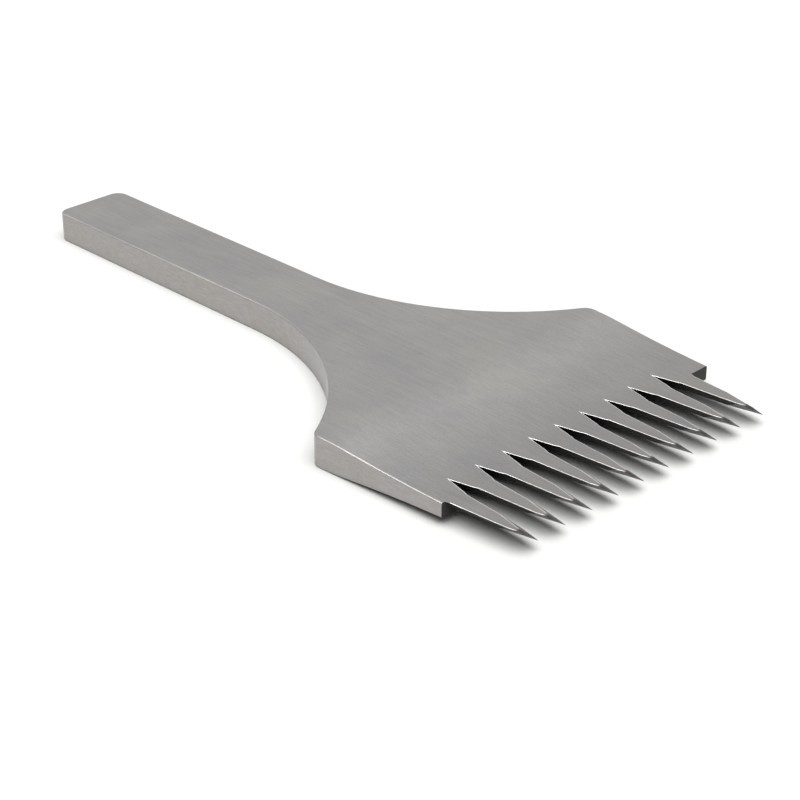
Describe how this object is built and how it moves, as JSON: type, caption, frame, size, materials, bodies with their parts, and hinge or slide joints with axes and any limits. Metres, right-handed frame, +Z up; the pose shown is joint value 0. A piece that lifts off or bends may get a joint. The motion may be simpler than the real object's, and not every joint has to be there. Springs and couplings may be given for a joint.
{
  "type": "pricking iron",
  "caption": "Flat one-piece steel leather iron: rectangular shank, curved flare to a wide hollow-ground head, and a row of slanted blade teeth for marking stitches.",
  "frame": {"origin": "below the middle of the overall box, on the plane that the tool lies on", "axes": "+Z up through the tool's thickness as it lies flat, +Y from the teeth along the shank to the struck butt, +X across the head to the right when looking from the teeth towards the butt"},
  "size_m": [0.0434, 0.094, 0.0037],
  "materials": {
    "tool_steel": "satin, fine-ground along the head and hard-edged at the cut tooth walls"
  },
  "bodies": {
    "root": {"pricking_iron": "tool_steel"}
  },
  "joints": []
}
